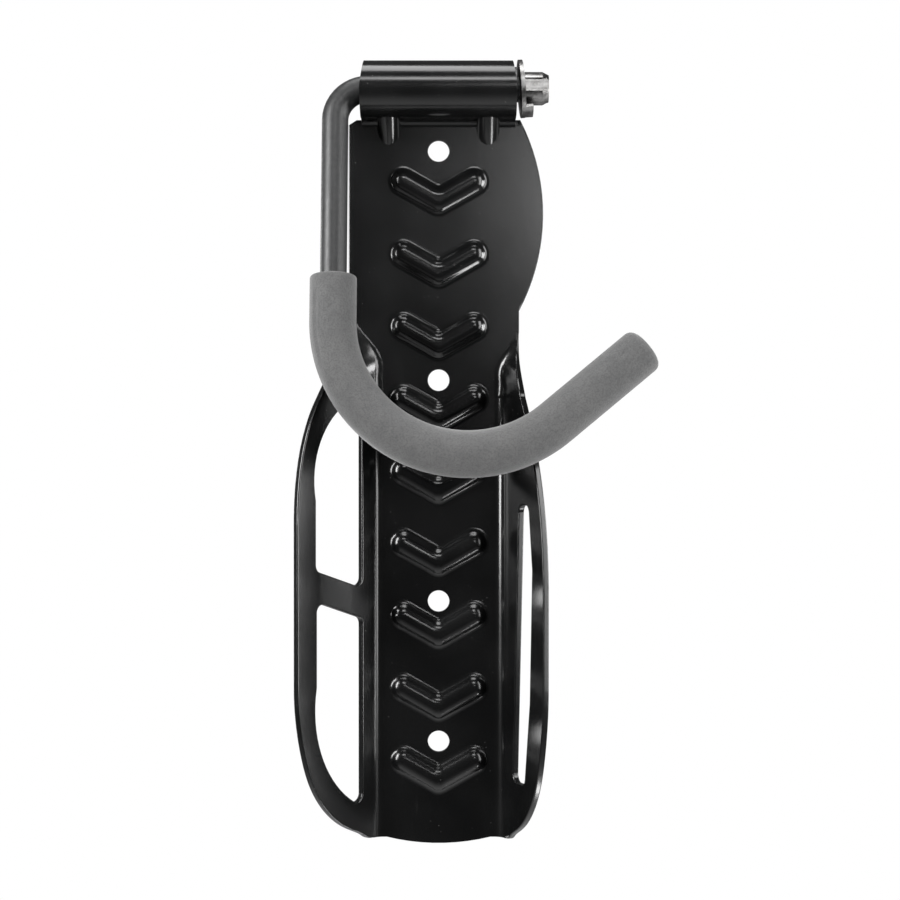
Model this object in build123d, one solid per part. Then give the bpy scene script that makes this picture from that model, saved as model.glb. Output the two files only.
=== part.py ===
from build123d import *
import math
import os

# Bicycle wall rack. Units are millimetres, Z is up and the front of the rack faces -Y.
# The wall is the plane Y = 0. The origin lies on it, at the centre of the top screw hole.

# Sheet the back plate is pressed from
SHEET_T = 2.4
EDGE_ROUND = 0.5
BEND_R = 4.5
SEAM_INSET = 1.5

# Screw holes down the centre line, measured from the top hole
HOLE_D = 8.3
HOLE_2_DROP = 88.0
HOLE_3_DROP = 173.0
HOLE_4_DROP = 227.0

# Rolled barrel across the top
BARREL_OD = 21.2
BARREL_LENGTH = 59.0
BARREL_RISE = 22.0
AXIS_OUT = 11.4
BARREL_END_TAPER = 1.4
CURL_GAP_ANGLE = 50.0
CORNER_R = 2.5
TRIM_REACH = 5.0

# Gusset darts in the corner under the barrel
DART_X = 19.0
DART_REACH = 9.0
DART_R = 4.4
DART_BLOCK = 40.0
DART_WALL = 1.9
DART_SLIT = 12.0
DART_HOLLOW_END = 0.6

# Upper plate
LEFT_EDGE = 34.5
NECK_HALF = 31.4
EAR_RISE = 3.0
EAR_BEVEL = 2.0
BULGE_X = 40.2
BULGE_DROP = 24.5
WAIST_X = 30.9
NOTCH_DROP = 61.5

# Channel
FLOOR_HALF = 21.4
CHANNEL_DROP = 263.7
BOTTOM_BOW = 2.4
PANEL_DROP = 95.0
LOWER_CURVE_HEIGHT = 60.7
# Share of the wing's reach, and height above the foot of the channel
LOWER_CURVE_POINTS = (
    (0.975, 48.0),
    (0.915, 36.5),
    (0.785, 22.8),
    (0.55, 11.2),
    (0.3, 4.9),
    (0.14, 1.9),
)

# Left wing
LEFT_START_DROP = 62.0
LEFT_ANGLE = 50.0
LEFT_SHOULDER = 45.4
LEFT_DEPTH = 35.6
LEFT_SHOULDER_DROP = 142.0
LEFT_GROWTH = 1.3
LEFT_FLARE = 0.7

# Right wing
RIGHT_START_DROP = 70.0
RIGHT_ANGLE = 68.0
RIGHT_SHOULDER = 33.0
RIGHT_DEPTH = 37.2
RIGHT_SHOULDER_DROP = 168.0
RIGHT_GROWTH = 2.2
RIGHT_FLARE = 0.6

# Where the sheet turns from the flat plate into a wing
HANDOVER_STEPS = 7
BEND_INSET = 2.0
BEND_SETTLED = 0.6
TILT_SETTLED = 0.85
TIP_SPLITS = (2.0, 1.0)
TOUCH = 0.01

# Wing openings
BAND = 9.8
WINDOW_INNER = 6.3
WINDOW_CORNER_R = 3.0
CROSSBAR_DROP = 159.6
CROSSBAR_DEPTH = 11.6
CROSSBAR_SLOPE = 17.0
WINDOW_TOP_DROP = 97.5
WINDOW_TOP_WIDTH = 9.0
WINDOW_ARC_DEPTH = 36.0
WINDOW_ARC_MIDDLE = (4.4, 11.0)
LOW_WINDOW_INSET = 0.5
LOW_WINDOW_ARC_MIDDLE = (6.7, 15.5)
WINDOW_FOOT_HEIGHT = 13.2
SLOT_TOP_DROP = 135.5
SLOT_FOOT_HEIGHT = 23.1
SLOT_TOP_INSET = 3.0
SLOT_SWELL = (0.3, 24.0)
SLOT_LOW_INSET = 1.8
SLOT_LOW_DROP = 6.0
SLOT_FOOT_INSET = 6.6
SLOT_FOOT_SHARE = 0.9
SLOT_BAND = 10.5
SLOT_WIDTH = 11.5

# Raised V ribs
RIB_COUNT = 9
RIB_FIRST_DROP = 19.3
RIB_PITCH = 27.8
RIB_HALF_SPAN = 13.5
RIB_RISE = 7.6
RIB_WIDTH = 9.2
RIB_HEIGHT = 2.6
RIB_DRAFT = 35.0
RIB_CREST_R = 4.6
RIB_FOOT_R = 3.0
RIB_GROUND = 24.0
RIB_NOTCH_R = 2.0
RIB_HOLLOW_INSET = 1.3

# Hook
ROD_D = 10.0
HOOK_LEAN = 10.2
ELBOW_R = 12.5
LEG_X = 39.0
J_R = 50.0
CROSSING_X = 34.7
CROSSING_DROP = 134.43
J_TURN = 130.0
J_ARM = 44.0
FOAM_OD = 17.5
FOAM_TOP_DROP = 73.4
FOAM_CAP = 3.9
FOAM_TIP_ROUND = 3.0
FOAM_RIM_ROUND = 1.0

# Nylon bushes: press fit in the barrel, running fit on the rod
RUN_CLEARANCE = 0.05
BUSH_LENGTH = 15.0
ELBOW_RELIEF = 3.0

# Washer and slotted nut on the right end of the rod
STUD_D = 8.0
WASHER_OD = 21.8
WASHER_T = 1.5
WASHER_BORE_GAP = 0.15
WASHER_LEAN = 4.0
WASHER_TWIST = 2.0
END_GAP = 0.8
NUT_OD = 12.6
NUT_LENGTH = 9.0
NUT_CHAMFER = 2.4
FLUTE_COUNT = 3
FLUTE_WIDTH = 5.2
FLUTE_FLOOR_R = 4.9
FLUTE_ANGLE = 8.0
TIP_RECESS = 1.2
TAB_LENGTH = 2.8
TAB_ARC = 42.0
TAB_CENTRE_ANGLE = 69.0

barrel_r = BARREL_OD / 2
bore_r = barrel_r - SHEET_T
axis_y = -AXIS_OUT
rod_r = ROD_D / 2
bend_outer_r = BEND_R + SHEET_T
seam_x = FLOOR_HALF - SEAM_INSET
flat_top = BARREL_RISE - barrel_r - CORNER_R
ear_top = flat_top + EAR_RISE
lower_curve_drop = CHANNEL_DROP - LOWER_CURVE_HEIGHT
hinge = Pos(0, axis_y, BARREL_RISE)
# The J passes in front of the right wing at a set height, whatever its radius
j_sag = J_R - math.sqrt(J_R**2 - (CROSSING_X - J_R + LEG_X) ** 2)
hook_drop = CROSSING_DROP + j_sag


def ease(p):
    """Smooth step from 0 to 1."""
    q = max(0.0, min(1.0, p))
    return q * q * (3 - 2 * q)


def round_edges(sheet, keep, normal):
    """Round the cut edges of a flat piece of sheet lying square to normal, where keep allows."""
    flat_edges = sheet.edges().filter_by(normal, reverse=True)
    return fillet(flat_edges.filter_by(lambda e: keep(e @ 0.5)), EDGE_ROUND)


def flat_outline():
    """Flat part of the sheet: upper plate, waist and channel floor, drawn in X and Z."""
    right_bulge = ThreePointArc(
        (NECK_HALF, ear_top), (BULGE_X, -BULGE_DROP), (WAIST_X, -NOTCH_DROP)
    )
    right_steps = Polyline(
        (WAIST_X, -NOTCH_DROP),
        (WAIST_X, -RIGHT_START_DROP),
        (seam_x, -RIGHT_START_DROP),
        (seam_x, -CHANNEL_DROP),
    )
    foot = ThreePointArc(
        (seam_x, -CHANNEL_DROP), (0, -CHANNEL_DROP - BOTTOM_BOW), (-seam_x, -CHANNEL_DROP)
    )
    left_steps = Polyline(
        (-seam_x, -CHANNEL_DROP),
        (-seam_x, -LEFT_START_DROP),
        (-LEFT_EDGE, -LEFT_START_DROP),
        (-LEFT_EDGE, ear_top - EAR_BEVEL),
        (-NECK_HALF, ear_top),
        (-BARREL_LENGTH / 2, ear_top),
        (-BARREL_LENGTH / 2, flat_top),
        (BARREL_LENGTH / 2, flat_top),
        (BARREL_LENGTH / 2, ear_top),
        (NECK_HALF, ear_top),
    )
    return make_face([right_bulge, right_steps, foot, left_steps])


def rounded_tip(back_tip, along, through):
    """Edges round the free end of the sheet, from its back face to its front face."""
    front_tip = back_tip - through * SHEET_T
    r = EDGE_ROUND
    cut = r * (1 - math.sqrt(0.5))
    back_arc = Edge.make_three_point_arc(
        back_tip - along * r, back_tip - (along + through) * cut, back_tip - through * r
    )
    end_line = Edge.make_line(back_tip - through * r, front_tip + through * r)
    front_arc = Edge.make_three_point_arc(
        front_tip + through * r, front_tip - (along - through) * cut, front_tip - along * r
    )
    return [back_arc, end_line, front_arc]


def wing_section(z, bend_x, angle, run):
    """Cross-section of the sheet from the channel floor through the bend and along the wing."""
    a = math.radians(angle)
    along = Vector(math.cos(a), -math.sin(a), 0)
    through = Vector(math.sin(a), math.cos(a), 0)

    def around(radius, turn):
        return Vector(
            bend_x + radius * math.sin(turn), radius * math.cos(turn) - bend_outer_r, z
        )

    back_end = around(bend_outer_r, a)
    front_end = around(BEND_R, a)
    edges = [
        Edge.make_line((seam_x, 0, z), (bend_x, 0, z)),
        Edge.make_three_point_arc((bend_x, 0, z), around(bend_outer_r, a / 2), back_end),
    ]
    if run > 0:
        straight = along * (run - EDGE_ROUND)
        edges.append(Edge.make_line(back_end, back_end + straight))
        edges += rounded_tip(back_end + along * run, along, through)
        edges.append(Edge.make_line(front_end + straight, front_end))
    else:
        edges.append(Edge.make_line(back_end, front_end))
    edges.append(
        Edge.make_three_point_arc(front_end, around(BEND_R, a / 2), (bend_x, -SHEET_T, z))
    )
    edges.append(Edge.make_line((bend_x, -SHEET_T, z), (seam_x, -SHEET_T, z)))
    edges.append(Edge.make_line((seam_x, -SHEET_T, z), (seam_x, 0, z)))
    return Wire(edges)


def flat_section(z, edge_x):
    """Cross-section of the flat sheet, split like a wing section so that the two can be lofted."""
    xs = (seam_x, edge_x - TIP_SPLITS[0], edge_x - TIP_SPLITS[1], edge_x - EDGE_ROUND)
    back = [Edge.make_line((xs[i], 0, z), (xs[i + 1], 0, z)) for i in range(3)]
    front = [
        Edge.make_line((xs[i + 1], -SHEET_T, z), (xs[i], -SHEET_T, z)) for i in (2, 1, 0)
    ]
    tip = rounded_tip(Vector(edge_x, 0, z), Vector(1, 0, 0), Vector(0, 1, 0))
    inner = Edge.make_line((seam_x, -SHEET_T, z), (seam_x, 0, z))
    return Wire(back + tip + front + [inner])


def wing_run(bend_x, angle, edge_x):
    """Straight length of a wing section that ends at edge_x on its back face."""
    a = math.radians(angle)
    return (edge_x - bend_x - bend_outer_r * math.sin(a)) / math.cos(a)


def wing_handover(start_drop, start_x, angle, shoulder, growth):
    """Part of a wing where the sheet leaves the flat plate and turns forward."""
    sections = [flat_section(-start_drop, start_x)]
    for i in range(1, HANDOVER_STEPS + 1):
        p = i / HANDOVER_STEPS
        z = -start_drop - p * (PANEL_DROP - start_drop)
        travel = 1 - ease(p / BEND_SETTLED)
        bend_x = FLOOR_HALF + (start_x - BEND_INSET - FLOOR_HALF) * travel
        tilt = angle * ease(p / TILT_SETTLED)
        edge_x = start_x + (shoulder - start_x) * p**growth
        sections.append(wing_section(z, bend_x, tilt, wing_run(bend_x, tilt, edge_x)))
    return Solid.make_loft(sections)


def wing_reach(angle, depth):
    """Width of the flat of a wing whose front tip stands depth out from the wall."""
    a = math.radians(angle)
    return (depth + BEND_R * math.cos(a) - bend_outer_r) / math.sin(a)


def panel_plane(angle):
    """Front face of a wing, with its X axis pointing away from the bend and its Y axis up."""
    a = math.radians(angle)
    foot = (FLOOR_HALF + BEND_R * math.sin(a), BEND_R * math.cos(a) - bend_outer_r, 0)
    return Plane(
        origin=foot,
        x_dir=(math.cos(a), -math.sin(a), 0),
        z_dir=(-math.sin(a), -math.cos(a), 0),
    )


def wing_panel(angle, shoulder, reach, shoulder_drop, flare, openings):
    """Flat panel of a wing with its openings, and the bend that joins it to the floor."""
    top_reach = wing_run(FLOOR_HALF, angle, shoulder)
    shoulder_curve = Spline(
        (top_reach, -PANEL_DROP),
        (reach, -shoulder_drop),
        tangents=[(flare, -1), (0, -1)],
    )
    side = Line((reach, -shoulder_drop), (reach, -lower_curve_drop))
    lower_points = [(reach * out, -CHANNEL_DROP + rise) for out, rise in LOWER_CURVE_POINTS]
    lower_curve = Spline(
        (reach, -lower_curve_drop),
        *lower_points,
        (0, -CHANNEL_DROP),
        tangents=[(0, -1), (-1, 0)],
    )
    bend_side = Polyline((0, -CHANNEL_DROP), (0, -PANEL_DROP), (top_reach, -PANEL_DROP))
    face = make_face([shoulder_curve, side, lower_curve, bend_side])
    for window in openings:
        face -= window
    panel = extrude(face, amount=-SHEET_T)
    panel = round_edges(panel, lambda p: p.X > TOUCH and p.Y < -PANEL_DROP - TOUCH, Axis.Z)
    strip = Face(wing_section(-PANEL_DROP, FLOOR_HALF, angle, 0))
    bend = extrude(strip, amount=CHANNEL_DROP - PANEL_DROP, dir=(0, 0, -1))
    return panel_plane(angle).location * panel + bend


def opening(lines):
    """Closed window outline with rounded corners."""
    face = make_face(lines)
    return fillet(face.vertices(), WINDOW_CORNER_R)


def left_windows():
    """Upper and lower windows of the left wing, split by the sloping crossbar."""
    outer = wing_reach(LEFT_ANGLE, LEFT_DEPTH) - BAND
    fall = (outer - WINDOW_INNER) * math.tan(math.radians(CROSSBAR_SLOPE))
    arc_foot = -WINDOW_TOP_DROP - WINDOW_ARC_DEPTH
    arc_in, arc_drop = WINDOW_ARC_MIDDLE
    upper_mid = (outer - arc_in, -WINDOW_TOP_DROP - arc_drop)
    arc_start = (WINDOW_INNER + WINDOW_TOP_WIDTH, -WINDOW_TOP_DROP)
    upper = [
        Polyline(
            (outer, arc_foot),
            (outer, -CROSSBAR_DROP),
            (WINDOW_INNER, -CROSSBAR_DROP - fall),
            (WINDOW_INNER, -WINDOW_TOP_DROP),
            arc_start,
        ),
        ThreePointArc(arc_start, upper_mid, (outer, arc_foot)),
    ]
    low_top = -CROSSBAR_DROP - CROSSBAR_DEPTH
    low_outer = outer - LOW_WINDOW_INSET
    foot = -CHANNEL_DROP + WINDOW_FOOT_HEIGHT
    arc_in, arc_rise = LOW_WINDOW_ARC_MIDDLE
    lower = [
        Polyline(
            (WINDOW_INNER, foot),
            (WINDOW_INNER, low_top - fall),
            (low_outer, low_top),
            (low_outer, -lower_curve_drop),
        ),
        ThreePointArc(
            (low_outer, -lower_curve_drop),
            (outer - arc_in, foot + arc_rise),
            (WINDOW_INNER, foot),
        ),
    ]
    return [opening(upper), opening(lower)]


def right_slot():
    """Long slot of the right wing, following the edge of the wing."""
    outer = wing_reach(RIGHT_ANGLE, RIGHT_DEPTH) - SLOT_BAND
    foot = -CHANNEL_DROP + SLOT_FOOT_HEIGHT
    foot_outer = outer - SLOT_FOOT_INSET
    swell, swell_drop = SLOT_SWELL
    points = Polyline(
        (outer - SLOT_WIDTH, -SLOT_TOP_DROP),
        (outer - SLOT_TOP_INSET, -SLOT_TOP_DROP),
        (outer + swell, -SLOT_TOP_DROP - swell_drop),
        (outer - SLOT_LOW_INSET, -lower_curve_drop - SLOT_LOW_DROP),
        (foot_outer, foot),
        (foot_outer - SLOT_FOOT_SHARE * SLOT_WIDTH, foot),
        close=True,
    )
    return [opening([points])]


def rolled_barrel():
    """Sheet turned forward at the top of the plate and curled into a barrel."""
    corner = Location((-SHEET_T - CORNER_R, flat_top)) * (
        Circle(CORNER_R + SHEET_T) - Circle(CORNER_R)
    )
    corner &= Pos(0, flat_top) * Rectangle(
        SHEET_T + CORNER_R, SHEET_T + CORNER_R, align=(Align.MAX, Align.MIN)
    )
    floor_run = AXIS_OUT - SHEET_T - CORNER_R
    floor = Pos(-SHEET_T - CORNER_R, flat_top + CORNER_R) * Rectangle(
        floor_run, SHEET_T, align=(Align.MAX, Align.MIN)
    )
    ring = Circle(barrel_r) - Circle(bore_r)
    g = math.radians(-90 + CURL_GAP_ANGLE)
    wedge = make_face(
        Polyline(
            (0, 0),
            (0, -2 * barrel_r),
            (2 * barrel_r, -2 * barrel_r),
            (2 * barrel_r * math.cos(g), 2 * barrel_r * math.sin(g)),
            close=True,
        )
    )
    ring = Pos(axis_y, BARREL_RISE) * (ring - wedge)
    profile = ring + floor + corner
    barrel = extrude(Plane.YZ * profile, amount=BARREL_LENGTH / 2, both=True)
    end_x = BARREL_LENGTH / 2
    trim = make_face(
        Polyline(
            (end_x, BARREL_RISE),
            (end_x - BARREL_END_TAPER, BARREL_RISE + barrel_r),
            (end_x - BARREL_END_TAPER, BARREL_RISE + 2 * barrel_r),
            (end_x + TRIM_REACH, BARREL_RISE + 2 * barrel_r),
            (end_x + TRIM_REACH, BARREL_RISE),
            close=True,
        )
    )
    trimmer = extrude(Plane.XZ * trim, amount=2 * BARREL_OD, both=True)
    return barrel - trimmer - mirror(trimmer, about=Plane.YZ)


def corner_dart(x):
    """Pressed dart bridging the corner under the barrel, and the hollow behind it."""
    corner_point = (x, -SHEET_T, flat_top + CORNER_R)
    depth = DART_REACH / math.sqrt(2) - DART_R
    frame = Plane(origin=corner_point, x_dir=(1, 0, 0), z_dir=(0, -1, 1))
    bar = Pos(0, -depth) * Circle(DART_R)
    ridge = extrude(frame * bar, amount=3 * DART_REACH, both=True)
    front = Pos(x, -SHEET_T / 2, flat_top + CORNER_R + SHEET_T / 2) * Box(
        4 * DART_R, DART_BLOCK, DART_BLOCK, align=(Align.CENTER, Align.MAX, Align.MAX)
    )
    hollow_r = DART_R - DART_WALL
    hollow = Pos(0, -depth) * (
        Circle(hollow_r) + Rectangle(2 * hollow_r, DART_SLIT, align=(Align.CENTER, Align.MIN))
    )
    pocket = extrude(frame * hollow, amount=hollow_r + DART_HOLLOW_END, both=True)
    return ridge & front, pocket


def rib_outline(half_width):
    """V outline around a rib centre line, point down."""
    arms = Polyline((-RIB_HALF_SPAN, RIB_RISE), (0, 0), (RIB_HALF_SPAN, RIB_RISE))
    loop = offset(arms, amount=half_width, side=Side.BOTH)
    face = make_face(loop)
    notch = face.vertices().filter_by(lambda v: abs(v.X) < 0.01).sort_by(Axis.Y)[-1]
    return fillet(notch, RIB_NOTCH_R)


def rib_solids():
    """Raised V rib on a patch of the sheet, and the hollow pressed behind it, both at Z = 0."""
    front = Plane.XZ.offset(SHEET_T)
    raised = extrude(front * rib_outline(RIB_WIDTH / 2), amount=RIB_HEIGHT, taper=RIB_DRAFT)
    crest = raised.faces().sort_by(Axis.Y)[0]
    raised = fillet(crest.edges(), RIB_CREST_R)
    ground = front * Pos(0, RIB_RISE / 2) * Rectangle(2 * seam_x - 0.2, RIB_GROUND)
    raised += extrude(ground, amount=-SHEET_T / 2)
    face = raised.faces().filter_by(Axis.Y).sort_by(SortBy.AREA)[-2]
    raised = fillet(face.inner_wires()[0].edges(), RIB_FOOT_R)
    behind = rib_outline(RIB_WIDTH / 2 - RIB_HOLLOW_INSET)
    hollow = extrude(Plane.XZ * behind, amount=RIB_HEIGHT, taper=RIB_DRAFT)
    return raised, hollow


def flat_part():
    """Flat part of the sheet with its free edges rounded."""
    flat = extrude(Plane.XZ * flat_outline(), amount=SHEET_T)

    def free(p):
        above = p.Z > -min(LEFT_START_DROP, RIGHT_START_DROP) + 0.5
        return above and abs(p.X) > BARREL_LENGTH / 2 + 0.2

    return round_edges(flat, free, Axis.Y)


def back_plate():
    """The whole pressed sheet."""
    left = wing_handover(LEFT_START_DROP, LEFT_EDGE, LEFT_ANGLE, LEFT_SHOULDER, LEFT_GROWTH)
    left_reach = wing_reach(LEFT_ANGLE, LEFT_DEPTH)
    left += wing_panel(
        LEFT_ANGLE, LEFT_SHOULDER, left_reach, LEFT_SHOULDER_DROP, LEFT_FLARE, left_windows()
    )
    right = wing_handover(
        RIGHT_START_DROP, WAIST_X, RIGHT_ANGLE, RIGHT_SHOULDER, RIGHT_GROWTH
    )
    right_reach = wing_reach(RIGHT_ANGLE, RIGHT_DEPTH)
    right += wing_panel(
        RIGHT_ANGLE, RIGHT_SHOULDER, right_reach, RIGHT_SHOULDER_DROP, RIGHT_FLARE, right_slot()
    )
    plate = flat_part() + rolled_barrel() + mirror(left, about=Plane.YZ) + right

    for side in (-1, 1):
        ridge, pocket = corner_dart(side * DART_X)
        plate = plate + ridge - pocket

    raised, hollow = rib_solids()
    for i in range(RIB_COUNT):
        place = Pos(0, 0, -RIB_FIRST_DROP - i * RIB_PITCH)
        plate = plate + place * raised - place * hollow

    for drop in (0, HOLE_2_DROP, HOLE_3_DROP, HOLE_4_DROP):
        hole = extrude(Plane.XZ * Pos(0, -drop) * Circle(HOLE_D / 2), amount=4 * SHEET_T, both=True)
        plate -= hole
    return plate


def hook_path(start_x, arm, leg_start):
    """Centre line of the hook in its own plane, with the barrel axis at the origin."""
    j_centre = (J_R - LEG_X, J_R - hook_drop)
    turn = math.radians(J_TURN)
    leg_end = (-LEG_X, J_R - hook_drop)
    j_mid = (
        j_centre[0] - J_R * math.cos(turn / 2),
        j_centre[1] - J_R * math.sin(turn / 2),
    )
    j_end = (j_centre[0] - J_R * math.cos(turn), j_centre[1] - J_R * math.sin(turn))
    tip = (j_end[0] + arm * math.sin(turn), j_end[1] - arm * math.cos(turn))
    lower = [Line((-LEG_X, leg_start), leg_end), ThreePointArc(leg_end, j_mid, j_end), Line(j_end, tip)]
    if start_x is None:
        return Wire([Plane.XZ * line for line in lower])
    bend_x = ELBOW_R - LEG_X
    diagonal = ELBOW_R * (1 - math.sqrt(0.5))
    upper = [
        Line((start_x, 0), (bend_x, 0)),
        ThreePointArc((bend_x, 0), (-LEG_X + diagonal, -diagonal), (-LEG_X, -ELBOW_R)),
    ]
    return Wire([Plane.XZ * line for line in upper + lower])


def hang(shape):
    """Hook-plane shape turned to its rest lean and set on the barrel axis."""
    return hinge * Rot(X=-HOOK_LEAN) * shape


def bar_in_plane():
    """Round bar of the hook with its turned-down end."""
    shoulder_x = BARREL_LENGTH / 2 + END_GAP
    path = hook_path(shoulder_x, J_ARM - FOAM_CAP, -ELBOW_R)
    start = Plane(origin=(shoulder_x, 0, 0), z_dir=(-1, 0, 0))
    bar = sweep(start * Circle(rod_r), path=path)
    stud_length = nut_left() - shoulder_x + NUT_LENGTH - TIP_RECESS
    stud_face = Plane(origin=(shoulder_x, 0, 0), z_dir=(1, 0, 0))
    stud = extrude(stud_face * Circle(STUD_D / 2), amount=stud_length)
    return bar + stud


def foam_sleeve():
    """Closed-end foam tube over the J."""
    path = hook_path(None, J_ARM, -FOAM_TOP_DROP)
    start = Plane(origin=(-LEG_X, 0, -FOAM_TOP_DROP), z_dir=(0, 0, -1))
    tube = sweep(start * Circle(FOAM_OD / 2), path=path)
    tip = tube.faces().filter_by(GeomType.PLANE).sort_by(Axis.X)[-1]
    tube = fillet(tip.edges(), FOAM_TIP_ROUND)
    top = tube.faces().filter_by(GeomType.PLANE).sort_by(Axis.Z)[-1]
    tube = fillet(top.edges(), FOAM_RIM_ROUND)
    return hang(tube - bar_in_plane())


def bush(start_x):
    """Plain nylon bush inside the barrel, with its left end at start_x."""
    ring = Circle(bore_r) - Circle(rod_r + RUN_CLEARANCE)
    return hinge * Pos(start_x, 0, 0) * extrude(Plane.YZ * ring, amount=BUSH_LENGTH)


def washer_seat(contact_r):
    """Distance from the middle of the leaning washer to a square face of radius contact_r."""
    lean = math.radians(math.hypot(WASHER_LEAN, WASHER_TWIST))
    return WASHER_T / 2 / math.cos(lean) + contact_r * math.tan(lean)


def washer_middle():
    """X of the middle of the washer, which leans against the end of the bar."""
    return BARREL_LENGTH / 2 + END_GAP + washer_seat(rod_r)


def nut_left():
    """X of the face of the nut that the washer leans against."""
    return washer_middle() + washer_seat(NUT_OD / 2)


def tab_washer():
    """Loose washer with one tab bent outward at its lower front."""
    ring = Circle(WASHER_OD / 2) - Circle(STUD_D / 2 + WASHER_BORE_GAP)
    inner_face = Plane.YZ.offset(-WASHER_T / 2)
    disc = extrude(inner_face * ring, amount=WASHER_T)
    half = math.radians(TAB_ARC / 2)
    far = WASHER_OD
    wedge = make_face(
        Polyline(
            (0, 0),
            (far * math.cos(half), far * math.sin(half)),
            (far * math.cos(half), -far * math.sin(half)),
            close=True,
        )
    )
    band = (Circle(WASHER_OD / 2) - Circle(WASHER_OD / 2 - WASHER_T)) & wedge
    tab = extrude(
        inner_face * Rot(Z=180 + TAB_CENTRE_ANGLE) * band, amount=WASHER_T + TAB_LENGTH
    )
    leaning = Rot(Y=-WASHER_LEAN) * Rot(Z=WASHER_TWIST) * (disc + tab)
    return hinge * Pos(washer_middle(), 0, 0) * leaning


def end_nut():
    """Round nut with flutes along its side, a bevelled end and a recess in its tip."""
    outer_r = NUT_OD / 2
    ring = Circle(outer_r) - Circle(STUD_D / 2)
    nut = extrude(Plane.YZ * ring, amount=NUT_LENGTH)
    bevel = make_face(
        Polyline(
            (0, 0),
            (0, outer_r),
            (NUT_LENGTH - NUT_CHAMFER, outer_r),
            (NUT_LENGTH, outer_r - NUT_CHAMFER / 2),
            (NUT_LENGTH, 0),
            close=True,
        )
    )
    nut &= revolve(bevel, axis=Axis.X)
    for i in range(FLUTE_COUNT):
        turn = FLUTE_ANGLE + i * 360 / FLUTE_COUNT
        flute = Pos(0, -FLUTE_FLOOR_R, 0) * Box(
            2 * NUT_LENGTH + 1, outer_r, FLUTE_WIDTH, align=(Align.CENTER, Align.MAX, Align.CENTER)
        )
        nut -= Rot(X=-turn) * flute
    recess = Plane.YZ.offset(NUT_LENGTH - TIP_RECESS) * Circle(FLUTE_FLOOR_R)
    nut -= extrude(recess, amount=TIP_RECESS)
    return hinge * Pos(nut_left(), 0, 0) * nut


os.makedirs("parts", exist_ok=True)
export_step(back_plate(), "parts/back_plate.step")
export_step(bush(-BARREL_LENGTH / 2 + ELBOW_RELIEF), "parts/left_bush.step")
export_step(bush(BARREL_LENGTH / 2 - BUSH_LENGTH), "parts/right_bush.step")
export_step(hang(bar_in_plane()), "parts/hook_rod.step")
export_step(foam_sleeve(), "parts/foam_sleeve.step")
export_step(tab_washer(), "parts/tab_washer.step")
export_step(end_nut(), "parts/end_nut.step")
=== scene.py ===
import math

import bpy
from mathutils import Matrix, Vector


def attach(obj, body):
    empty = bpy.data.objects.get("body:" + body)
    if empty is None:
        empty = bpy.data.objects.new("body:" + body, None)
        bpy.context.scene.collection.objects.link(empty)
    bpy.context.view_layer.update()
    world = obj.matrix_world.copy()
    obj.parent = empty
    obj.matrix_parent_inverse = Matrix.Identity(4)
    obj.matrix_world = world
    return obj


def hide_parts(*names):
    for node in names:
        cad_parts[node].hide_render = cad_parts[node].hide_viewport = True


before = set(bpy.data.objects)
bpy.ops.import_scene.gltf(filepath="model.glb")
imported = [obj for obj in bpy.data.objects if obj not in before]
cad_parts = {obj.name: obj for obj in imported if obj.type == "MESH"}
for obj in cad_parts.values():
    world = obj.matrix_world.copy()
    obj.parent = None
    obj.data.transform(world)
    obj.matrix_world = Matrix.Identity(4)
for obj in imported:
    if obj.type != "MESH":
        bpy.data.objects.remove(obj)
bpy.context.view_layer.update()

MM = 0.001

# Hook: millimetres, measured in its own plane down from the axis of the barrel
BARREL_AXIS = Vector((0, -11.4, 22.0)) * MM
LEAN = math.radians(10.2)
LEG_X = 39.0
HOOK_DROP = 140.4
BEND_R = 50.0
BEND_TURN = math.radians(130)
ARM = 44.0

# Foam sleeve: millimetres
SLEEVE_TOP = 73.4
SLEEVE_R = 8.75
WALL = 3.65
TIP_ROUND = 3.0
RIM_ROUND = 0.9
SEAM_TURN = 45.0
SEAM_TOP = 80.0
SEAM_END = 106.0
SEAM_DEPTH = 0.7

# Fineness of the sleeve's mesh
SIDES = 64
LEG_RINGS = 9
BEND_RINGS = 60
ARM_RINGS = 22
TIP_RINGS = 5
TIP_FACE_RADII = (4.2, 2.6, 1.2)
RIM_SEGMENTS = 3

# How near a vertex lies to the rim or the outer skin to count as on it: millimetres
RIM_NEAR = 0.02
SKIN_NEAR = 0.1

# Studio: places in metres, the tilt in degrees, the lens and sensor in millimetres
FLOOR_RADIUS = 2.2
FLOOR_SIDES = 96
FLOOR_HEIGHT = -1.2
AIR_LIGHT = 0.15
AIR_SEEN = 1.0
CAMERA_PLACE = (0.0044, -0.70, -0.1106)
CAMERA_TILT = 89.65
CAMERA_LENS = 72.6
CAMERA_SENSOR = 36
RACK_MIDDLE = (0, 0, -0.12)

# Sockets of the colour mixing node: first colour, second colour, result
FIRST_COLOUR = 6
SECOND_COLOUR = 7
MIXED_COLOUR = 2


# ---------------------------------------------------------------- finishes


class Signal:
    """A value running through a finish. Python sums on it add the nodes that do them."""

    def __init__(self, finish, socket):
        self.finish = finish
        self.socket = socket

    def __add__(self, other):
        return self.finish.sum("ADD", self, other)

    def __radd__(self, other):
        return self.finish.sum("ADD", other, self)

    def __sub__(self, other):
        return self.finish.sum("SUBTRACT", self, other)

    def __mul__(self, other):
        return self.finish.sum("MULTIPLY", self, other)

    def __rmul__(self, other):
        return self.finish.sum("MULTIPLY", other, self)


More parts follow.
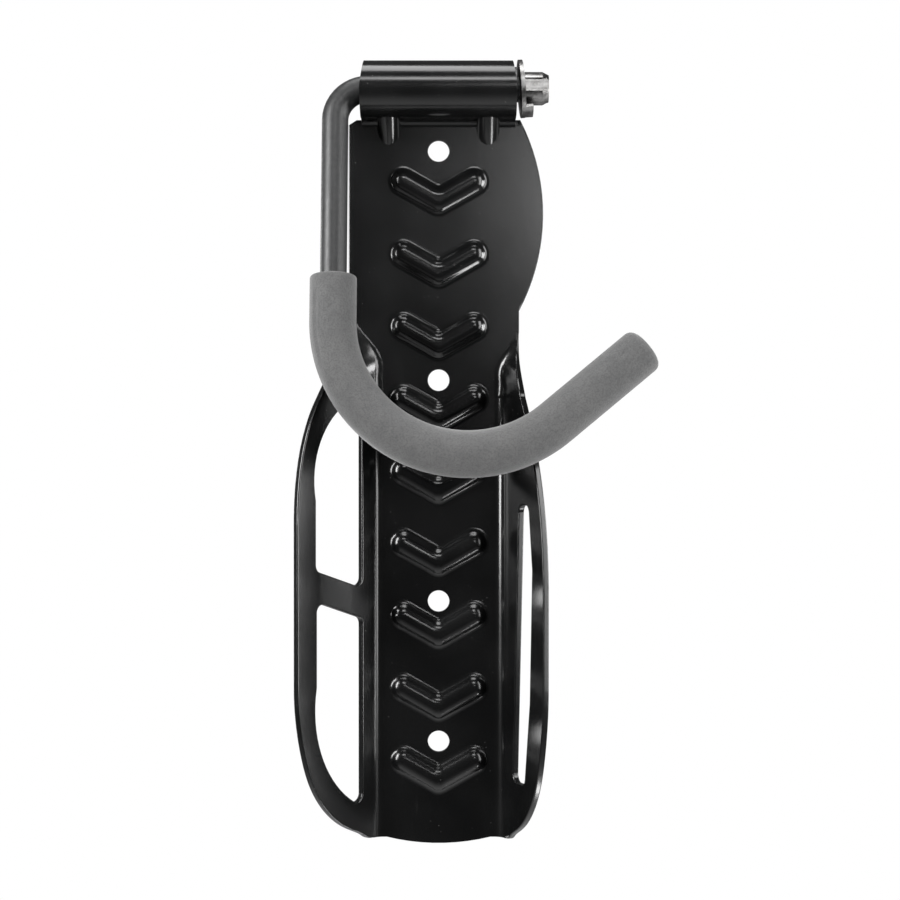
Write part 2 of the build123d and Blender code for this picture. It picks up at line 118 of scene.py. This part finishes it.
class Finish:
    """One material, built up node by node."""

    def __init__(self, name):
        self.material = bpy.data.materials.new(name)
        self.material.use_nodes = True
        self.tree = self.material.node_tree
        self.tree.nodes.clear()
        self.place = self.node("ShaderNodeTexCoord", out="Object")

    def node(self, kind, settings=None, sockets=None, out=0):
        """Adds a node of any kind: its settings first, then its sockets, then gives one output."""
        made = self.tree.nodes.new(kind)
        for name, value in (settings or {}).items():
            setattr(made, name, value)
        for name, value in (sockets or {}).items():
            if isinstance(value, Signal):
                self.tree.links.new(value.socket, made.inputs[name])
            else:
                made.inputs[name].default_value = value
        return Signal(self, made.outputs[out]) if len(made.outputs) else None

    def sum(self, operation, a, b):
        return self.node("ShaderNodeMath", {"operation": operation}, {0: a, 1: b})

    def noise(self, per_metre, detail=2.0, roughness=0.5, along=None):
        """Soft cloudy noise with the given number of lumps in a metre."""
        return self.node(
            "ShaderNodeTexNoise",
            sockets={
                "Vector": along or self.place,
                "Scale": per_metre,
                "Detail": detail,
                "Roughness": roughness,
            },
        )

    def ramp(self, value, low, high, start=0.0, end=1.0):
        """Smooth step of a value from start at low to end at high."""
        return self.node(
            "ShaderNodeMapRange",
            {"interpolation_type": "SMOOTHSTEP"},
            {
                "Value": value,
                "From Min": low,
                "From Max": high,
                "To Min": start,
                "To Max": end,
            },
        )

    def stretched(self, scale, shift=(0, 0, 0), turn=(0, 0, 0)):
        """The position with each axis scaled, so that a pattern runs long one way."""
        return self.node(
            "ShaderNodeMapping",
            {"vector_type": "POINT"},
            {"Vector": self.place, "Scale": scale, "Location": shift, "Rotation": turn},
        )

    def blend(self, share, first, second):
        """Colour that goes from first to second as share goes from 0 to 1."""
        return self.node(
            "ShaderNodeMix",
            {"data_type": "RGBA"},
            {0: share, FIRST_COLOUR: first, SECOND_COLOUR: second},
            out=MIXED_COLOUR,
        )

    def relief(self, height, depth, strength=1.0, over=None):
        """Surface normal raised by a height signal, with depth in metres."""
        sockets = {"Height": height, "Distance": depth, "Strength": strength}
        if over is not None:
            sockets["Normal"] = over
        return self.node("ShaderNodeBump", sockets=sockets)

    def surface(self, **sockets):
        """Ends the finish with its surface shader."""
        named = {name.replace("_", " "): value for name, value in sockets.items()}
        shader = self.node("ShaderNodeBsdfPrincipled", sockets=named)
        self.node("ShaderNodeOutputMaterial", sockets={"Surface": shader})
        return self.material


def grey(level, warm=0.0):
    """Nearly neutral colour, a touch warm or cool."""
    return (level * (1 + warm), level, level * (1 - warm), 1)


def powder_coat():
    """Black powder coat of the back plate: orange peel, fine texture, faint rubs and dust."""
    f = Finish("powder_coat")
    peel = f.noise(420, detail=1.5)
    grain = f.noise(2100, detail=2.0, roughness=0.6)
    clouds = f.noise(38, detail=3.0)
    rub_lines = f.noise(60, detail=4.0, roughness=0.7, along=f.stretched((9, 9, 0.7)))
    rub = f.ramp(rub_lines, 0.60, 0.78) * f.ramp(clouds, 0.45, 0.62)
    specks = f.node(
        "ShaderNodeTexVoronoi", {"feature": "F1"}, {"Vector": f.place, "Scale": 430.0}
    )
    dust = f.ramp(specks, 0.09, 0.05) * f.ramp(f.noise(150), 0.52, 0.66)
    depth = f.ramp(clouds, 0.3, 0.7)
    base = f.blend(depth, grey(0.0010, -0.04), grey(0.0022, -0.02))
    base = f.blend(rub * 0.35, base, grey(0.012))
    base = f.blend(dust * 0.5, base, grey(0.08, 0.03))
    rough = 0.17 + 0.03 * depth + 0.02 * f.ramp(grain, 0.35, 0.65) + 0.2 * dust + 0.06 * rub
    normal = f.relief(peel, 0.00010, 0.08)
    normal = f.relief(grain, 0.00002, 0.06, over=normal)
    return f.surface(
        Base_Color=base, Roughness=rough, Normal=normal, Specular_IOR_Level=0.25
    )


def rod_lacquer():
    """Satin black lacquer of the hook rod, with the faint lines of the drawn bar."""
    f = Finish("rod_lacquer")
    drawn = f.noise(900, detail=2.0, along=f.stretched((1, 1, 0.03)))
    peel = f.noise(700, detail=1.0)
    scuffs = f.ramp(f.noise(180, detail=5.0, roughness=0.75), 0.62, 0.75)
    base = f.blend(f.ramp(peel, 0.3, 0.7), grey(0.007, -0.03), grey(0.011, -0.02))
    base = f.blend(scuffs * 0.3, base, grey(0.022))
    rough = 0.42 + 0.06 * f.ramp(drawn, 0.35, 0.65) + 0.10 * scuffs
    normal = f.relief(drawn, 0.00003, 0.3)
    normal = f.relief(peel, 0.00005, 0.25, over=normal)
    return f.surface(
        Base_Color=base, Roughness=rough, Normal=normal, Specular_IOR_Level=0.22
    )


def foam_skin():
    """Grey closed-cell foam: fine pores, soft mottling, faint broad lighter patches."""
    f = Finish("foam_skin")
    mottle = f.noise(260, detail=4.0, roughness=0.65)
    broad = f.noise(55, detail=2.0)
    cells = f.node(
        "ShaderNodeTexVoronoi", {"feature": "F1"}, {"Vector": f.place, "Scale": 1500.0}
    )
    pore = f.ramp(cells, 0.45, 0.75)
    grain = f.noise(1900, detail=3.0, roughness=0.7)
    base = f.blend(f.ramp(mottle, 0.3, 0.7), grey(0.029, -0.01), grey(0.037, 0.0))
    base = f.blend(f.ramp(broad, 0.35, 0.65) * 0.35, base, grey(0.038, 0.01))
    base = f.blend(pore * 0.5, base, grey(0.018))
    rough = 0.80 + 0.12 * f.ramp(grain, 0.3, 0.7)
    normal = f.relief(mottle, 0.00018, 0.5)
    normal = f.relief(cells, 0.00010, 0.5, over=normal)
    normal = f.relief(grain, 0.00012, 0.8, over=normal)
    return f.surface(
        Base_Color=base,
        Roughness=rough,
        Normal=normal,
        Specular_IOR_Level=0.25,
        Sheen_Weight=0.15,
        Sheen_Roughness=0.5,
    )


def dark_zinc():
    """Dark plated steel of the washer and nut: turned rings, small scratches, patchy plating."""
    f = Finish("dark_zinc")
    centred = f.stretched((1, 1, 1), shift=-BARREL_AXIS)
    rings = f.node(
        "ShaderNodeTexWave",
        {"wave_type": "RINGS", "rings_direction": "X"},
        {"Vector": centred, "Scale": 900.0, "Distortion": 2.0, "Detail": 2.0},
        out="Fac",
    )
    patches = f.noise(330, detail=4.0, roughness=0.65)
    scratches = f.ramp(
        f.noise(500, detail=5.0, roughness=0.8, along=f.stretched((0.4, 3, 3))), 0.60, 0.72
    )
    base = f.blend(f.ramp(patches, 0.35, 0.65), grey(0.070, 0.02), grey(0.15, 0.01))
    base = f.blend(scratches * 0.5, base, grey(0.28, 0.01))
    rough = 0.26 + 0.12 * f.ramp(patches, 0.3, 0.7) + 0.06 * rings - 0.05 * scratches
    normal = f.relief(rings, 0.00002, 0.25)
    normal = f.relief(patches, 0.00004, 0.3, over=normal)
    return f.surface(Base_Color=base, Roughness=rough, Normal=normal, Metallic=1.0)


def bush_nylon():
    """Moulded black nylon of the bushes, slightly waxy and speckled."""
    f = Finish("bush_nylon")
    flow = f.noise(300, detail=3.0)
    grain = f.noise(2400, detail=2.0)
    base = f.blend(f.ramp(flow, 0.3, 0.7), grey(0.020), grey(0.032, 0.01))
    rough = 0.45 + 0.15 * f.ramp(grain, 0.3, 0.7)
    normal = f.relief(grain, 0.00004, 0.4)
    return f.surface(Base_Color=base, Roughness=rough, Normal=normal)


def studio_paper():
    """Pale seamless paper of the floor."""
    f = Finish("studio_paper")
    fibre = f.noise(120, detail=4.0)
    base = f.blend(fibre, grey(0.86), grey(0.90))
    return f.surface(Base_Color=base, Roughness=0.9, Specular_IOR_Level=0.1)


FINISHES = {
    "back_plate": powder_coat(),
    "hook_rod": rod_lacquer(),
    "left_bush": bush_nylon(),
    "right_bush": bush_nylon(),
    "tab_washer": dark_zinc(),
    "end_nut": dark_zinc(),
}
for node_name, finish in FINISHES.items():
    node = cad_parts[node_name]
    for holder in node.material_slots:
        holder.material = finish
    if not node.material_slots:
        node.data.materials.append(finish)


# ---------------------------------------------------------------- foam sleeve


def on_hook(x, drop):
    """Point of the hook's own plane, as x and drop below the barrel axis in millimetres."""
    down = Vector((0, -math.sin(LEAN), -math.cos(LEAN)))
    return BARREL_AXIS + Vector((x, 0, 0)) * MM + down * drop * MM


def select_verts(mesh_object, keep):
    """Selects, in edit mode, the vertices whose position passes."""
    bpy.ops.mesh.select_all(action="DESELECT")
    bpy.ops.object.mode_set(mode="OBJECT")
    for vertex in mesh_object.data.vertices:
        vertex.select = keep(vertex.co)
    bpy.ops.object.mode_set(mode="EDIT")


def on_seam(point):
    """Whether a vertex lies on the moulding seam, on the outer left of the sleeve."""
    offset = (point - BARREL_AXIS) / MM
    drop = -offset.y * math.sin(LEAN) - offset.z * math.cos(LEAN)
    front = -offset.y * math.cos(LEAN) + offset.z * math.sin(LEAN)
    below = max(0.0, drop - HOOK_DROP + BEND_R)
    outward = math.hypot(offset.x + LEG_X - BEND_R, below) - BEND_R
    turn = math.degrees(math.atan2(front, outward))
    outer_skin = math.hypot(front, outward) > SLEEVE_R - SKIN_NEAR
    return outer_skin and SEAM_TOP < drop < SEAM_END and abs(turn - SEAM_TURN) < 180 / SIDES


def extrude(step, times=1):
    """Draws the selected ring out by a step, as many times as asked."""
    for _ in range(times):
        bpy.ops.mesh.extrude_region_move(TRANSFORM_OT_translate={"value": step})


def narrow_ring(share, middle):
    """Scales the selected ring about its middle."""
    bpy.ops.transform.resize(value=(share, share, share), center_override=middle)


def foam_sleeve():
    """Foam tube over the J of the hook: open rim at the top, closed rounded tip."""
    bpy.ops.object.select_all(action="DESELECT")
    bpy.ops.mesh.primitive_circle_add(
        vertices=SIDES,
        radius=SLEEVE_R * MM,
        location=on_hook(-LEG_X, SLEEVE_TOP),
        rotation=(-LEAN, 0, 0),
    )
    sleeve = bpy.context.object
    sleeve.name = "foam_grip"
    bpy.ops.object.transform_apply(location=True, rotation=True, scale=True)
    bpy.ops.object.mode_set(mode="EDIT")
    bpy.ops.mesh.select_all(action="SELECT")

    down = on_hook(0, 1) - on_hook(0, 0)
    straight = HOOK_DROP - BEND_R - SLEEVE_TOP
    extrude(down * straight / LEG_RINGS, LEG_RINGS)

    centre = on_hook(BEND_R - LEG_X, HOOK_DROP - BEND_R)
    hook_normal = Vector((0, -math.cos(LEAN), math.sin(LEAN)))
    bpy.ops.mesh.spin(steps=BEND_RINGS, angle=-BEND_TURN, center=centre, axis=hook_normal)

    tip_way = Vector((1, 0, 0)) * math.sin(BEND_TURN) + (down / MM) * math.cos(BEND_TURN)
    extrude(tip_way * (ARM - TIP_ROUND) * MM / ARM_RINGS, ARM_RINGS)

    arm_start = on_hook(
        BEND_R - LEG_X - BEND_R * math.cos(BEND_TURN),
        HOOK_DROP - BEND_R + BEND_R * math.sin(BEND_TURN),
    )
    radius, reach = SLEEVE_R, ARM - TIP_ROUND
    for ring in range(1, TIP_RINGS + 1):
        corner = math.pi / 2 * ring / TIP_RINGS
        next_reach = ARM - TIP_ROUND + TIP_ROUND * math.sin(corner)
        next_radius = SLEEVE_R - TIP_ROUND + TIP_ROUND * math.cos(corner)
        extrude(tip_way * (next_reach - reach) * MM)
        narrow_ring(next_radius / radius, arm_start + tip_way * next_reach * MM)
        radius, reach = next_radius, next_reach
    for next_radius in TIP_FACE_RADII:
        extrude((0, 0, 0))
        narrow_ring(next_radius / radius, arm_start + tip_way * reach * MM)
        radius = next_radius
    bpy.ops.mesh.merge(type="CENTER")
    bpy.ops.mesh.select_all(action="SELECT")
    bpy.ops.mesh.normals_make_consistent(inside=False)
    bpy.ops.object.mode_set(mode="OBJECT")

    wall = sleeve.modifiers.new("wall", "SOLIDIFY")
    wall.thickness = WALL * MM
    wall.offset = -1
    bpy.ops.object.modifier_apply(modifier="wall")

    bpy.ops.object.mode_set(mode="EDIT")
    rim = on_hook(-LEG_X, SLEEVE_TOP)
    select_verts(sleeve, lambda p: (p - rim).dot(down) / MM < RIM_NEAR * MM)
    bpy.ops.mesh.bevel(offset=RIM_ROUND * MM, segments=RIM_SEGMENTS, affect="EDGES")
    select_verts(sleeve, on_seam)
    bpy.ops.transform.shrink_fatten(value=-SEAM_DEPTH * MM)
    bpy.ops.mesh.select_all(action="SELECT")
    bpy.ops.object.mode_set(mode="OBJECT")
    bpy.ops.object.shade_smooth()
    sleeve.data.materials.append(foam_skin())
    return sleeve


sleeve = foam_sleeve()
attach(sleeve, "hook")
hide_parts("foam_sleeve")


# ---------------------------------------------------------------- studio


def studio_floor():
    """Round pale floor under the rack."""
    bpy.ops.object.select_all(action="DESELECT")
    bpy.ops.mesh.primitive_circle_add(
        vertices=FLOOR_SIDES,
        radius=FLOOR_RADIUS,
        fill_type="NGON",
        location=(0, 0, FLOOR_HEIGHT),
    )
    floor = bpy.context.object
    floor.name = "studio_floor"
    floor.data.materials.append(studio_paper())


def lamp(name, place, aim, width, height, watts):
    """Soft rectangular lamp at place, facing aim."""
    light = bpy.data.lights.new(name, "AREA")
    light.shape = "RECTANGLE"
    light.size = width
    light.size_y = height
    light.energy = watts
    holder = bpy.data.objects.new(name, light)
    bpy.context.scene.collection.objects.link(holder)
    holder.location = place
    facing = Vector(aim) - Vector(place)
    holder.rotation_euler = facing.to_track_quat("-Z", "Y").to_euler()
    holder.visible_camera = False


studio_floor()
lamp("high_front_softbox", (0.05, -0.95, 0.62), (0, 0, -0.10), 0.4, 0.2, 5)
lamp("sheen_card", (0.22, -1.50, 0.20), (0, 0, -0.05), 0.16, 0.18, 2.4)
lamp("overhead_softbox", (-0.05, -0.12, 0.75), (0, 0, 0), 0.6, 0.35, 9)
lamp("left_front_strip", (-0.75, -0.47, 0.12), RACK_MIDDLE, 0.30, 0.7, 34)
lamp("left_back_card", (-0.62, 0.62, -0.15), RACK_MIDDLE, 0.30, 0.60, 5)
lamp("right_softbox", (0.75, -0.50, 0.08), RACK_MIDDLE, 0.30, 0.9, 14)
lamp("right_side_card", (0.85, -0.12, -0.12), RACK_MIDDLE, 0.20, 0.50, 12)
lamp("low_right_strip", (0.45, -0.15, -0.80), (0, 0, -0.05), 0.40, 0.10, 5)

scene = bpy.context.scene


def studio_air():
    """Even grey air round the rack, seen as a white background."""
    world = bpy.data.worlds.new("studio_air")
    world.use_nodes = True
    tree = world.node_tree
    seen = tree.nodes.new("ShaderNodeLightPath").outputs["Is Camera Ray"]
    glow = tree.nodes.new("ShaderNodeMapRange")
    tree.links.new(seen, glow.inputs["Value"])
    glow.inputs["To Min"].default_value = AIR_LIGHT
    glow.inputs["To Max"].default_value = AIR_SEEN
    tree.links.new(glow.outputs[0], tree.nodes["Background"].inputs["Strength"])
    tree.nodes["Background"].inputs["Color"].default_value = (1, 1, 1, 1)
    return world


scene.world = studio_air()
scene.view_settings.view_transform = "Standard"

camera = bpy.data.cameras.new("front_camera")
camera.sensor_width = CAMERA_SENSOR
camera.lens = CAMERA_LENS
viewer = bpy.data.objects.new("front_camera", camera)
scene.collection.objects.link(viewer)
viewer.location = CAMERA_PLACE
viewer.rotation_euler = (math.radians(CAMERA_TILT), 0, 0)
scene.camera = viewer
